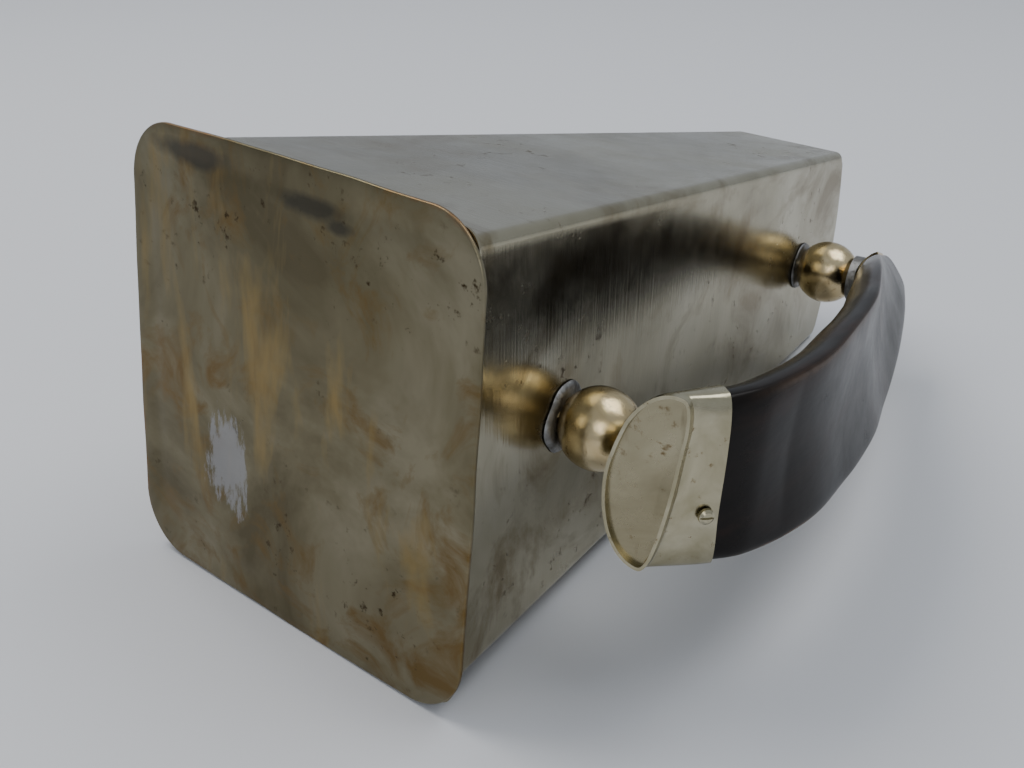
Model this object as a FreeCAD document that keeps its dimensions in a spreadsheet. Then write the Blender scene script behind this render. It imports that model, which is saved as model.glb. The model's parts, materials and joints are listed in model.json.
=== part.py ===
import FreeCAD, Part
import math
import os
import Sketcher
from FreeCAD import Placement, Rotation, Vector

# A tapered square charcoal hod of plated sheet brass, lying on its flank: a flat base plate at one
# end, an open mouth at the other, and a bowed horn grip held off one side by two turned ball posts.
#
# Pieces are drawn in the vessel frame: the base plate's upper face is z = 0, the mouth is up, the
# handle stands on +X. Handle pieces use the face frame: "along" runs up the sloping handle face from
# the foot, "out" is square to that face. At the end everything is laid down on the table.

doc = FreeCAD.newDocument("charcoal_hod")
sheet = doc.addObject("Spreadsheet::Sheet", "Sizes")

SIZES = [
    # vessel
    ("vessel_height", 300), ("wall", 0.9), ("fold_radius", 3.5),
    ("foot_side", 136.5), ("mouth_depth", 56), ("mouth_width", 87.5),
    ("mouth_shift", -9.2), ("mouth_arch", 8),
    ("lip_width", 3), ("solder_bead", 1.6),
    ("bead_feather", 0.15), ("seam_gap", 0.4), ("seam_cover", 14), ("seam_end_gap", 6),
    # base plate
    ("plate_side", 149), ("plate_crown", 1), ("plate_thickness", 1.5),
    ("plate_corner", 20), ("plate_edge", 0.4),
    # ball posts
    ("lower_post_along", 58), ("upper_post_along", 267),
    ("ball_diameter", 26), ("neck_radius", 7), ("neck_stub", 1.55),
    ("collar_radius", 12.5), ("collar_height", 2.6), ("collar_lip", 0.6),
    ("joint_radius", 9.5), ("joint_height", 4), ("joint_overlap", 1),
    # stud, washer and nut that hold a post
    ("stud_radius", 2.5), ("stud_bite", 15), ("stud_tail", 7.5), ("hole_clearance", 0.15),
    ("washer_radius", 9), ("washer_thickness", 1.2), ("nut_flats", 8), ("nut_height", 4),
    ("seat_clearance", 0.03),
    # grip: a tapered, flattened horn that bows away from the face
    ("grip_start", 34), ("grip_bow", 1), ("grip_width", 1), ("grip_depth", 1), ("grip_tip", 9),
    # end caps
    ("cap_wall", 0.9), ("cap_gap", 0.15), ("lower_cap_length", 15), ("cap_slant", 13),
    ("saddle_start", 256), ("saddle_side", 1),
    ("cap_rim", 1.6), ("cap_end_thickness", 1.1),
    # cap screws
    ("screw_shank", 1.3), ("screw_length", 9), ("screw_head", 2.45), ("screw_dome", 1.7),
    ("screw_slot", 0.7), ("screw_slot_depth", 0.8), ("screw_fit", 0.02), ("thread_overlap", 0.05),
    ("lower_screw_along", 40), ("lower_screw_across", 7),
]

# The horn's stations: distance up the handle side, then how far its widest line stands out of that
# side, half its width, its depth, its twist in degrees, and how far it strays off the middle.
GRIP_COLUMNS = ("along", "out", "half", "depth", "twist", "stray")
GRIP_STATIONS = [
    (34, 44, 26.6, 19.2, -8, 1.5), (46, 53.5, 27, 21.5, -5, 1.3), (60, 61, 27.2, 23.4, -1, 1.2),
    (90, 67.2, 27.4, 23.6, 2.6, 1.5), (125, 66.8, 27.7, 22.3, 4.8, 2), (160, 63.7, 27.3, 20.2, 7.6, 2.3),
    (195, 56.6, 25.3, 18, 11.8, 2.5), (225, 49.8, 21.8, 16.5, 18.3, 2.3), (250, 43.8, 17.1, 15.9, 25.8, 1.9),
    (277.6, 37, 9.8, 16.1, 35.6, 1.3),
]
for number, station in enumerate(GRIP_STATIONS):
    SIZES += [("grip_%s_%d" % pair, value) for pair, value in
              zip([(column, number) for column in GRIP_COLUMNS], station)]

# Share of the grip's depth that lies on the flatter, outer side, and how square that side is.
OUTER_SHARE = 0.22
OUTER_SQUARENESS = 0.7
SECTION_POINTS = 28
# The rounded tip's sections, in degrees from its widest to its end.
TIP_ANGLES = (35.0, 58.0, 76.0)
# The grip's loft runs this far past its foot, so that the cap and cuts can be taken from it.
GRIP_RUN_ON = 8.0
# Slopes are measured over this distance to each side of a place along the grip.
SLOPE_STEP = 0.5
# A screw head's outline, as shares of its radius and of its height.
HEAD_SHOULDER = (0.94, 0.5)
HEAD_CROWN = (0.62, 0.9)
# How far cutting tools reach past the pieces that they cut: nearly, by far, and as thin drills.
OVERCUT = 1.0
REACH = 200.0
DRILL_LENGTH = 10.0

for row, (alias, value) in enumerate(SIZES, start=1):
    sheet.set("A%d" % row, alias)
    sheet.set("B%d" % row, str(value))
    sheet.setAlias("B%d" % row, alias)
doc.recompute()


def size(alias):
    return float(sheet.get(alias))


def derive(alias, value):
    """Adds a size that follows from the others, so that sketches can be bound to it."""
    row = len(SIZES) + 1
    while sheet.getContents("A%d" % row):
        row += 1
    sheet.set("A%d" % row, alias)
    sheet.set("B%d" % row, "%.6f" % value)
    sheet.setAlias("B%d" % row, alias)
    doc.recompute()


ball_radius, neck_radius = size("ball_diameter") / 2, size("neck_radius")
neck_chord = math.sqrt(ball_radius ** 2 - neck_radius ** 2)
derive("ball_out", neck_chord + size("neck_stub"))


# --- the two frames ---------------------------------------------------------------------------

face_rise = size("foot_side") / 2 - size("mouth_shift") - size("mouth_depth") / 2
FACE_LEAN = math.atan2(face_rise, size("vessel_height"))
ALONG = Vector(-math.sin(FACE_LEAN), 0, math.cos(FACE_LEAN))
OUT = Vector(math.cos(FACE_LEAN), 0, math.sin(FACE_LEAN))
ACROSS = Vector(0, 1, 0)
FACE_FOOT = Vector(size("foot_side") / 2, 0, 0)


def face_point(along, out, across=0.0):
    return FACE_FOOT + ALONG * along + OUT * out + ACROSS * across


def face_placement(along, out=0.0, across=0.0, lean=0.0):
    """Local Z points out of the face, leaning towards the mouth by lean degrees."""
    turn = Rotation(Vector(0, 1, 0), 90 - math.degrees(FACE_LEAN) - lean)
    return Placement(face_point(along, out, across), turn)


# --- sketch helpers ---------------------------------------------------------------------------

def origin_plane(body, role):
    return [item for item in body.Origin.OriginFeatures if item.Role == role][0]


def new_body(name):
    return doc.addObject("PartDesign::Body", name)


def new_sketch(body, name, role="XY_Plane", offset=None):
    sketch = body.newObject("Sketcher::SketchObject", name)
    sketch.AttachmentSupport = [(origin_plane(body, role), "")]
    sketch.MapMode = "FlatFace"
    if offset:
        sketch.setExpression("AttachmentOffset.Base.z", offset)
    return sketch


def bind(sketch, constraint, name, expression):
    index = sketch.addConstraint(constraint)
    sketch.renameConstraint(index, name)
    sketch.setExpression("Constraints." + name, expression)


def rounded_rectangle(sketch, half_x, half_y, centre_x, radius):
    """A rectangle with round corners; each argument is an expression in the sheet's words."""
    hx, hy, cx, r = (evaluate(text) for text in (half_x, half_y, centre_x, radius))
    corners = [(cx + hx, hy), (cx - hx, hy), (cx - hx, -hy), (cx + hx, -hy)]
    inward = [(-1, -1), (1, -1), (1, 1), (-1, 1)]
    starts = [0, 90, 180, 270]
    for (x, y), (dx, dy), start in zip(corners, inward, starts):
        centre = Vector(x + dx * r, y + dy * r, 0)
        circle = Part.Circle(centre, Vector(0, 0, 1), r)
        first = math.radians(start)
        sketch.addGeometry(Part.ArcOfCircle(circle, first, first + math.pi / 2))
    for index in range(4):
        here, there = sketch.Geometry[index], sketch.Geometry[(index + 1) % 4]
        sketch.addGeometry(Part.LineSegment(here.EndPoint, there.StartPoint))
    for index in range(4):
        sketch.addConstraint(Sketcher.Constraint("Tangent", index, 2, 4 + index, 1))
        sketch.addConstraint(Sketcher.Constraint("Tangent", 4 + index, 2, (index + 1) % 4, 1))
    for index in (4, 6):
        sketch.addConstraint(Sketcher.Constraint("Horizontal", index))
    for index in (5, 7):
        sketch.addConstraint(Sketcher.Constraint("Vertical", index))
    for index in range(3):
        sketch.addConstraint(Sketcher.Constraint("Equal", index, index + 1))
    bind(sketch, Sketcher.Constraint("Radius", 0, r), "corner", radius)
    right = Sketcher.Constraint("DistanceX", -1, 1, 7, 1, cx + hx)
    bind(sketch, right, "right", "%s + %s" % (centre_x, half_x))
    left = Sketcher.Constraint("DistanceX", -1, 1, 5, 1, cx - hx)
    bind(sketch, left, "left", "%s - (%s)" % (centre_x, half_x))
    top = Sketcher.Constraint("DistanceY", -1, 1, 4, 1, hy)
    bind(sketch, top, "top", half_y)
    bottom = Sketcher.Constraint("DistanceY", -1, 1, 6, 1, -hy)
    bind(sketch, bottom, "bottom", "-(%s)" % half_y)


def evaluate(expression):
    """The number that an expression in the sheet's words stands for."""
    return float(sheet.evalExpression(expression.replace("Sizes.", "")))


def closed_profile(sketch, points, arcs=None):
    """Straight edges through points; arcs maps an edge's index to the point it bulges through."""
    arcs = arcs or {}
    count = len(points)
    for index in range(count):
        here, there = points[index], points[(index + 1) % count]
        if index in arcs:
            sketch.addGeometry(Part.Arc(here, arcs[index], there))
        else:
            sketch.addGeometry(Part.LineSegment(here, there))
    return count


def revolve_points(body, name, expressions, ball_edge=None, ball_centre=None, ball_radius=None):
    """Revolves a profile about local Z. Each point is a pair of expressions (radius, height)."""
    sketch = new_sketch(body, name + "_profile", "XZ_Plane")
    points = [Vector(evaluate(r), evaluate(z), 0) for r, z in expressions]
    count = len(points)
    for index in range(count):
        here, there = points[index], points[(index + 1) % count]
        if index == ball_edge:
            centre = Vector(0, evaluate(ball_centre), 0)
            radius = (here - centre).Length
            circle = Part.Circle(centre, Vector(0, 0, 1), radius)
            first = math.atan2(here.y - centre.y, here.x)
            last = math.atan2(there.y - centre.y, there.x)
            sketch.addGeometry(Part.ArcOfCircle(circle, first, last))
        else:
            sketch.addGeometry(Part.LineSegment(here, there))
    for index in range(count):
        after = (index + 1) % count
        sketch.addConstraint(Sketcher.Constraint("Coincident", index, 2, after, 1))
    for index, (radius, height) in enumerate(expressions):
        x_rule = Sketcher.Constraint("DistanceX", -1, 1, index, 1, points[index].x)
        bind(sketch, x_rule, "r%d" % index, radius)
        y_rule = Sketcher.Constraint("DistanceY", -1, 1, index, 1, points[index].y)
        bind(sketch, y_rule, "z%d" % index, height)
    if ball_edge is not None:
        rule = Sketcher.Constraint("Radius", ball_edge, evaluate(ball_radius))
        bind(sketch, rule, "ball_radius", ball_radius)
    turn = body.newObject("PartDesign::Revolution", name)
    turn.Profile = sketch
    turn.ReferenceAxis = (sketch, ["V_Axis"])
    turn.Angle = 360
    sketch.Visibility = False
    return turn


# --- vessel -----------------------------------------------------------------------------------

def sloped(along_height, foot, mouth):
    """A half size at a height, on the straight line from its foot value to its mouth value."""
    share = "(%s) / Sizes.vessel_height" % along_height
    return "(%s) + ((%s) - (%s)) * %s" % (foot, mouth, foot, share)


def vessel_loft(body, name, low, high, inset, feature):
    """A loft of the vessel's tapering outline, between two heights, drawn in by inset."""
    sketches = []
    for tag, level in (("foot", low), ("mouth", high)):
        sketch = new_sketch(body, "%s_%s" % (name, tag), "XY_Plane", level)
        half_x = sloped(level, "Sizes.foot_side / 2", "Sizes.mouth_depth / 2") + " - " + inset
        half_y = sloped(level, "Sizes.foot_side / 2", "Sizes.mouth_width / 2") + " - " + inset
        centre = sloped(level, "0", "Sizes.mouth_shift")
        rounded_rectangle(sketch, half_x, half_y, centre, "Sizes.fold_radius - " + inset)
        sketches.append(sketch)
    loft = body.newObject("PartDesign::" + feature, name)
    loft.Profile = sketches[0]
    loft.Sections = [sketches[1]]
    loft.Ruled = True
    return loft


def make_vessel_wall():
    """The folded sheet: four tapering sides, an out-turned lip, and an arched handle-side rim."""
    body = new_body("vessel_sheet")
    top = "Sizes.vessel_height + Sizes.mouth_arch + %g" % OVERCUT
    lip = new_sketch(body, "lip_outline", "XY_Plane")
    half = "Sizes.foot_side / 2 + Sizes.lip_width"
    rounded_rectangle(lip, half, half, "0", "Sizes.fold_radius + Sizes.lip_width")
    pad = body.newObject("PartDesign::Pad", "lip")
    pad.Profile = lip
    pad.setExpression("Length", "Sizes.wall")
    vessel_loft(body, "outside", "0", top, "0", "AdditiveLoft")
    low, high = "%g" % -OVERCUT, top + " + %g" % OVERCUT
    vessel_loft(body, "inside", low, high, "Sizes.wall", "SubtractiveLoft")
    trim_level_rim(body)
    trim_arched_rim(body)
    return body


def trim_level_rim(body):
    """Cuts the two flanks and the back off level, leaving the handle side standing."""
    sketch = new_sketch(body, "level_cut", "XZ_Plane")
    level = size("vessel_height")
    right = size("mouth_shift") + size("mouth_depth") / 2 - 2 * size("fold_radius")
    points = [Vector(-REACH, level, 0), Vector(right, level, 0)]
    points += [Vector(right, level + REACH, 0), Vector(-REACH, level + REACH, 0)]
    closed_profile(sketch, points)
    for index in range(4):
        sketch.addConstraint(Sketcher.Constraint("Coincident", index, 2, (index + 1) % 4, 1))
    for index in (0, 2):
        sketch.addConstraint(Sketcher.Constraint("Horizontal", index))
    for index in (1, 3):
        sketch.addConstraint(Sketcher.Constraint("Vertical", index))
    rule = Sketcher.Constraint("DistanceY", -1, 1, 0, 1, level)
    bind(sketch, rule, "level", "Sizes.vessel_height")
    rule = Sketcher.Constraint("DistanceX", -1, 1, 1, 1, right)
    edge = "Sizes.mouth_shift + Sizes.mouth_depth / 2 - 2 * Sizes.fold_radius"
    bind(sketch, rule, "edge", edge)
    cut = body.newObject("PartDesign::Pocket", "level_rim")
    cut.Profile = sketch
    cut.Type = 1
    cut.Midplane = True


def trim_arched_rim(body):
    """Cuts the handle side's rim to a shallow arch that meets the level rim at both corners."""
    sketch = new_sketch(body, "arch_cut", "YZ_Plane")
    level, arch, half = size("vessel_height"), size("mouth_arch"), size("mouth_width") / 2
    high = level + REACH
    points = [Vector(-half, level, 0), Vector(half, level, 0), Vector(REACH, level, 0)]
    points += [Vector(REACH, high, 0), Vector(-REACH, high, 0), Vector(-REACH, level, 0)]
    count = closed_profile(sketch, points, {0: Vector(0, level + arch, 0)})
    for index in range(count):
        after = (index + 1) % count
        here = 1 if index == 0 else 2
        there = 2 if after == 0 else 1
        sketch.addConstraint(Sketcher.Constraint("Coincident", index, here, after, there))
    for index in (1, 3, 5):
        sketch.addConstraint(Sketcher.Constraint("Horizontal", index))
    for index in (2, 4):
        sketch.addConstraint(Sketcher.Constraint("Vertical", index))
    right = Sketcher.Constraint("DistanceX", -1, 1, 1, 1, half)
    bind(sketch, right, "half", "Sizes.mouth_width / 2")
    left = Sketcher.Constraint("DistanceX", -1, 1, 5, 2, -half)
    bind(sketch, left, "other", "-Sizes.mouth_width / 2")
    height = Sketcher.Constraint("DistanceY", -1, 1, 1, 1, level)
    bind(sketch, height, "level", "Sizes.vessel_height")
    radius = (half * half + arch * arch) / (2 * arch)
    rule = "((Sizes.mouth_width / 2)^2 + Sizes.mouth_arch^2) / (2 * Sizes.mouth_arch)"
    bind(sketch, Sketcher.Constraint("Radius", 0, radius), "arch_radius", rule)
    cut = body.newObject("PartDesign::Pocket", "arched_rim")
    cut.Profile = sketch
    cut.Type = 1
    cut.Midplane = True


def make_base_plate():
    """A thin square plate with faintly bowed sides and large round corners."""
    body = new_body("plate_blank")
    sketch = new_sketch(body, "plate_outline", "XY_Plane")
    half, crown = size("plate_side") / 2, size("plate_crown")
    corners = [Vector(half, -half, 0), Vector(half, half, 0)]
    corners += [Vector(-half, half, 0), Vector(-half, -half, 0)]
    middles = [Vector(half + crown, 0, 0), Vector(0, half + crown, 0)]
    middles += [Vector(-half - crown, 0, 0), Vector(0, -half - crown, 0)]
    closed_profile(sketch, corners, dict(enumerate(middles)))
    for index in range(4):
        sketch.addConstraint(Sketcher.Constraint("Coincident", index, 2, (index + 1) % 4, 1))
    for index, corner in enumerate(corners):
        x_text = "Sizes.plate_side / 2" if corner.x > 0 else "-Sizes.plate_side / 2"
        y_text = "Sizes.plate_side / 2" if corner.y > 0 else "-Sizes.plate_side / 2"
        x_rule = Sketcher.Constraint("DistanceX", -1, 1, index, 1, corner.x)
        bind(sketch, x_rule, "x%d" % index, x_text)
        y_rule = Sketcher.Constraint("DistanceY", -1, 1, index, 1, corner.y)
        bind(sketch, y_rule, "y%d" % index, y_text)
    radius = (half * half + crown * crown) / (2 * crown)
    rule = "((Sizes.plate_side / 2)^2 + Sizes.plate_crown^2) / (2 * Sizes.plate_crown)"
    for index in range(4):
        bind(sketch, Sketcher.Constraint("Radius", index, radius), "side%d" % index, rule)
    pad = body.newObject("PartDesign::Pad", "plate_sheet")
    pad.Profile = sketch
    pad.Reversed = True
    pad.setExpression("Length", "Sizes.plate_thickness")
    doc.recompute()
    corners_round = body.newObject("PartDesign::Fillet", "plate_corners")
    corners_round.Base = (pad, edges_where(pad, stands_upright))
    corners_round.setExpression("Radius", "Sizes.plate_corner")
    doc.recompute()
    edges_round = body.newObject("PartDesign::Fillet", "plate_edges")
    edges_round.Base = (corners_round, edges_where(corners_round, lies_level))
    edges_round.setExpression("Radius", "Sizes.plate_edge")
    return body


def lies_level(edge):
    return edge.BoundBox.ZLength < 0.01


def stands_upright(edge):
    return edge.BoundBox.XLength < 0.01 and edge.BoundBox.YLength < 0.01


def edges_where(feature_made, test):
    """The names of a feature's edges that pass a test on their bounding boxes."""
    edges = enumerate(feature_made.Shape.Edges, 1)
    return ["Edge%d" % number for number, edge in edges if test(edge)]


def make_foot_solder():
    """A sloping bead of solder in the corner between the lip and the four sides."""
    body = new_body("solder_frame")
    low, high = "Sizes.wall", "Sizes.wall + Sizes.solder_bead"
    sketches = []
    for tag, level, spread in (("low", low, "Sizes.solder_bead"), ("high", high, "Sizes.bead_feather")):
        sketch = new_sketch(body, "bead_" + tag, "XY_Plane", level)
        half = sloped(level, "Sizes.foot_side / 2", "Sizes.mouth_width / 2") + " + " + spread
        half_x = sloped(level, "Sizes.foot_side / 2", "Sizes.mouth_depth / 2") + " + " + spread
        centre = sloped(level, "0", "Sizes.mouth_shift")
        rounded_rectangle(sketch, half_x, half, centre, "Sizes.fold_radius + " + spread)
        sketches.append(sketch)
    loft = body.newObject("PartDesign::AdditiveLoft", "bead")
    loft.Profile = sketches[0]
    loft.Sections = [sketches[1]]
    loft.Ruled = True
    over = high + " + %g" % OVERCUT
    vessel_loft(body, "bead_inside", "0", over, "0", "SubtractiveLoft")
    return body


def make_seam_cover():
    """A flat strip soldered over the butted edges of the sheet, inside the back wall."""
    strip = doc.addObject("Part::Box", "seam_strip")
    strip.setExpression("Length", "Sizes.wall")
    strip.setExpression("Width", "Sizes.seam_cover")
    strip.setExpression("Height", "Sizes.vessel_height - 2 * Sizes.seam_end_gap")
    lean = math.atan2(back_rise(), size("vessel_height"))
    inner_x = -size("foot_side") / 2 + size("wall") + size("seat_clearance")
    corner = Vector(inner_x, -size("seam_cover") / 2, 0)
    corner += Vector(math.sin(lean), 0, math.cos(lean)) * size("seam_end_gap")
    strip.Placement = Placement(corner, Rotation(Vector(0, 1, 0), math.degrees(lean)))
    return strip


def back_rise():
    return size("foot_side") / 2 + size("mouth_shift") - size("mouth_depth") / 2


# --- grip: lofted horn sections -----------------------------------------------------------------

def station(column, number):
    return size("grip_%s_%d" % (column, number))


LAST = len(GRIP_STATIONS) - 1


def slope_at(column, number):
    """The slope of a column at a station, from the stations on each side of it."""
    before, after = max(number - 1, 0), min(number + 1, LAST)
    run = station("along", after) - station("along", before)
    return (station(column, after) - station(column, before)) / run


def along_grip(column, along):
    """A column's value anywhere on the grip: a cubic between stations, level before the first."""
    if along <= station("along", 0):
        return station(column, 0)
    if along >= station("along", LAST):
        past = along - station("along", LAST)
        return station(column, LAST) + slope_at(column, LAST) * past
    number = max(i for i in range(LAST) if station("along", i) <= along)
    run = station("along", number + 1) - station("along", number)
    t = (along - station("along", number)) / run
    first, second = station(column, number), station(column, number + 1)
    leave, arrive = slope_at(column, number) * run, slope_at(column, number + 1) * run
    value = first * (1 + 2 * t) * (1 - t) ** 2 + second * t * t * (3 - 2 * t)
    return value + leave * t * (1 - t) ** 2 - arrive * t * t * (1 - t)


def grip_centre(along):
    """How far the grip's widest line stands out from the face."""
    first = station("out", 0)
    return first + (along_grip("out", along) - first) * size("grip_bow")


def grip_half_width(along):
    return along_grip("half", along) * size("grip_width")


def grip_thickness(along):
    return along_grip("depth", along) * size("grip_depth")


def grip_heading(along):
    """Slope of the middle line; the foot is cut square to the face."""
    if along <= size("grip_start"):
        return 0.0
    rise = grip_centre(along + SLOPE_STEP) - grip_centre(along - SLOPE_STEP)
    return math.atan2(rise, 2 * SLOPE_STEP)


def grip_axes(along):
    """The directions of a section's depth, outwards, and of its width, towards the table."""
    heading, twist = grip_heading(along), math.radians(along_grip("twist", along))
    outward = OUT * math.cos(heading) - ALONG * math.sin(heading)
    depth = outward * math.cos(twist) - ACROSS * math.sin(twist)
    width = ACROSS * math.cos(twist) + outward * math.sin(twist)
    return depth, width


def grip_middle(along):
    return face_point(along, grip_centre(along), -along_grip("stray", along))


def signed_power(value, power):
    return math.copysign(abs(value) ** power, value)


def grip_section(along, grow, shrink=1.0):
    """A closed D-like outline: squarish outer side, elliptical inner side, spread out by grow."""
    depth_way, width_way = grip_axes(along)
    half, thick = grip_half_width(along), grip_thickness(along)
    points = []
    for index in range(SECTION_POINTS):
        angle = 2 * math.pi * index / SECTION_POINTS
        squareness = OUTER_SQUARENESS if math.sin(angle) > 0 else 1.0
        depth = (OUTER_SHARE if math.sin(angle) > 0 else 1 - OUTER_SHARE) * thick + grow
        across = (half + grow) * signed_power(math.cos(angle), squareness) * shrink
        out = depth * signed_power(math.sin(angle), squareness) * shrink
        points.append(grip_middle(along) + depth_way * out + width_way * across)
    curve = Part.BSplineCurve()
    curve.interpolate(Points=points, PeriodicFlag=True)
    return Part.Wire([curve.toShape()])


def horn(grow):
    """The grip's whole form, spread out by grow: stations, then sections that round off the tip."""
    start, tip_start = size("grip_start"), station("along", LAST)
    wires = [grip_section(start - GRIP_RUN_ON, grow)]
    wires += [grip_section(station("along", number), grow) for number in range(LAST + 1)]
    for angle in TIP_ANGLES:
        reach = (size("grip_tip") + grow) * math.sin(math.radians(angle))
        wires.append(grip_section(tip_start + reach, grow, math.cos(math.radians(angle))))
    return Part.makeLoft(wires, True, False)


def keep_side(along, heading, towards_mouth):
    """A large block on one side of the section plane at a place along the grip."""
    block = Part.makeBox(2 * REACH, 2 * REACH, 2 * REACH, Vector(-REACH, -REACH, 0))
    direction = ALONG * math.cos(heading) + OUT * math.sin(heading)
    if not towards_mouth:
        direction = direction * -1
    turn = Rotation(Vector(0, 0, 1), direction)
    block.Placement = Placement(face_point(along, grip_centre(along)), turn)
    return block


def between(first, second, heading_first=0.0, heading_second=0.0):
    above_first = keep_side(first, heading_first, True)
    return above_first.common(keep_side(second, heading_second, False))


def face_cylinder(radius, along, first, last, across=0.0):
    rod = Part.makeCylinder(radius, last - first)
    rod.Placement = face_placement(along, first, across)
    return rod


def feature(name, shape):
    """Holds a shape made with Part's own functions; the pieces of horn and cap are free forms."""
    item = doc.addObject("Part::Feature", name)
    item.Shape = shape
    return item


start = size("grip_start")
skin_inside = horn(size("cap_gap"))
skin_outside = horn(size("cap_gap") + size("cap_wall"))
skin_plate = horn(size("cap_gap") - size("seat_clearance"))
core = horn(0.0)

ENDS = {"lower": {"post": size("lower_post_along")}, "upper": {"post": size("upper_post_along")}}
SCREW = {"along": size("lower_screw_along"), "across": size("lower_screw_across")}


def first_contact(along, radius, solid):
    """How far out from the face a rod of this radius first meets a solid."""
    rod = face_cylinder(radius, along, 0, REACH)
    met = rod.common(solid)
    met.Placement = face_placement(along).inverse().multiply(met.Placement)
    return met.optimalBoundingBox(False, False).ZMin


def last_contact(along, radius, across, solid):
    """How far out from the face a thin rod leaves a solid."""
    rod = face_cylinder(radius, along, 0, REACH, across)
    met = rod.common(solid)
    met.Placement = face_placement(along, 0, across).inverse().multiply(met.Placement)
    return met.optimalBoundingBox(False, False).ZMax


for side, place in ENDS.items():
    place["reach"] = first_contact(place["post"], size("neck_radius"), skin_outside)
    derive(side + "_reach", place["reach"] - size("seat_clearance"))


SCREW["seat"] = last_contact(SCREW["along"], size("screw_shank"), SCREW["across"], skin_outside)


def screw_placement():
    """At the cap's outer side, square to it."""
    ahead, behind = SCREW["along"] + SLOPE_STEP, SCREW["along"] - SLOPE_STEP
    above = grip_centre(ahead) + grip_thickness(ahead) * OUTER_SHARE
    below = grip_centre(behind) + grip_thickness(behind) * OUTER_SHARE
    lean = -math.degrees(math.atan2(above - below, 2 * SLOPE_STEP))
    return face_placement(SCREW["along"], SCREW["seat"], SCREW["across"], lean)


def screw_hole(extra):
    """A drill of the screw's shank, wider and deeper by extra."""
    hole = Part.makeCylinder(size("screw_shank") + extra, size("screw_length") + DRILL_LENGTH)
    inward = Placement(Vector(0, 0, -size("screw_length") - extra), Rotation())
    hole.Placement = screw_placement().multiply(inward)
    return hole


def stud_hole(place):
    radius = size("stud_radius") + size("hole_clearance")
    end_out = place["reach"] + size("stud_bite") + OVERCUT
    return face_cylinder(radius, place["post"], 0, end_out)


def make_grip():
    shape = core.common(keep_side(start, 0.0, True))
    for place in ENDS.values():
        shape = shape.cut(stud_hole(place))
    return feature("horn_core", shape.cut(screw_hole(size("screw_fit"))))


def make_cap_band():
    """A sheet ferrule around the grip's foot; its rim stands past the end plate."""
    band_edge = start + size("lower_cap_length")
    outer_end = start - size("cap_end_thickness") - size("cap_rim")
    slant = grip_heading(band_edge) + math.radians(size("cap_slant"))
    room = between(outer_end, band_edge, 0.0, slant)
    holes = stud_hole(ENDS["lower"]).fuse(screw_hole(size("hole_clearance")))
    shape = skin_outside.cut(skin_inside).common(room).cut(holes)
    return feature("band_sheet", shape)


def make_cap_end():
    near = start - size("seat_clearance")
    room = between(near - size("cap_end_thickness"), near)
    return feature("end_sheet", skin_plate.common(room))


def make_saddle():
    """A cup of sheet on the inner side of the horn's tip, where the upper ball meets it."""
    along = size("saddle_start")
    depth_way, _ = grip_axes(size("upper_post_along"))
    shape = skin_outside.cut(skin_inside).common(keep_side(along, grip_heading(along), True))
    block = Part.makeBox(2 * REACH, 2 * REACH, REACH, Vector(-REACH, -REACH, 0))
    edge = grip_middle(size("upper_post_along")) + depth_way * size("saddle_side")
    block.Placement = Placement(edge, Rotation(Vector(0, 0, 1), depth_way))
    shape = shape.cut(block).cut(stud_hole(ENDS["upper"]))
    return feature("saddle_sheet", largest_solid(shape))


# --- posts --------------------------------------------------------------------------------------

def make_ball_post(side):
    """A turned ball with a short neck at each end, bored for its stud."""
    body = new_body(side + "_ball_turning")
    bore = "Sizes.stud_radius + Sizes.hole_clearance"
    neck, reach, ball = "Sizes.neck_radius", "Sizes.%s_reach" % side, "Sizes.ball_diameter / 2"
    chord = "sqrt((%s)^2 - (%s)^2)" % (ball, neck)
    profile = [(bore, "Sizes.seat_clearance"), (neck, "Sizes.seat_clearance"),
               (neck, "Sizes.ball_out - " + chord), (neck, "Sizes.ball_out + " + chord),
               (neck, reach), (bore, reach)]
    revolve_points(body, side + "_ball", profile, 2, "Sizes.ball_out", ball)
    return body


def make_collar(side):
    """The ring of solder that holds a post's foot to the handle face."""
    body = new_body(side + "_collar_turning")
    radius, height, gap = "Sizes.collar_radius", "Sizes.collar_height", "Sizes.seat_clearance"
    neck = "Sizes.neck_radius + Sizes.seat_clearance"
    ball = "Sizes.ball_diameter / 2 + Sizes.seat_clearance"
    at_top = "sqrt((%s)^2 - (Sizes.ball_out - %s)^2)" % (ball, height)
    chord = "Sizes.ball_out - sqrt((%s)^2 - (%s)^2)" % (ball, neck)
    profile = [(neck, gap), (radius, gap), (at_top + " + Sizes.collar_lip", height)]
    profile += [(at_top, height), (neck, chord)]
    revolve_points(body, side + "_collar", profile)
    return body


def make_cap_joint(side, place):
    """Solder between a post's outer neck and the cap, following the cap's skin."""
    top = place["reach"] + size("joint_height")
    bottom = place["reach"] - size("joint_overlap")
    ring = face_cylinder(size("joint_radius"), place["post"], bottom, top)
    neck = size("neck_radius") + size("seat_clearance")
    bore = face_cylinder(neck, place["post"], bottom - OVERCUT, top + OVERCUT)
    skin = horn(size("cap_gap") + size("cap_wall") + size("seat_clearance"))
    ball = Part.makeSphere(size("ball_diameter") / 2 + size("seat_clearance"))
    ball.Placement = face_placement(place["post"], size("ball_out"))
    shape = ring.cut(bore).cut(skin).cut(ball)
    return feature(side + "_joint_solder", largest_solid(shape))


def largest_solid(shape):
    """The main solid of a cut; slivers left beyond the cap's skin are dropped."""
    ordered = sorted(shape.Solids, key=lambda solid: solid.Volume)
    return ordered[-1]


def make_stud(side):
    """A plain rod through the wall, the ball and the cap, into the grip."""
    rod = doc.addObject("Part::Cylinder", side + "_rod")
    rod.setExpression("Radius", "Sizes.stud_radius")
    length = "Sizes.stud_tail + Sizes.%s_reach + Sizes.stud_bite"
    rod.setExpression("Height", length % side)
    return rod


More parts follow.
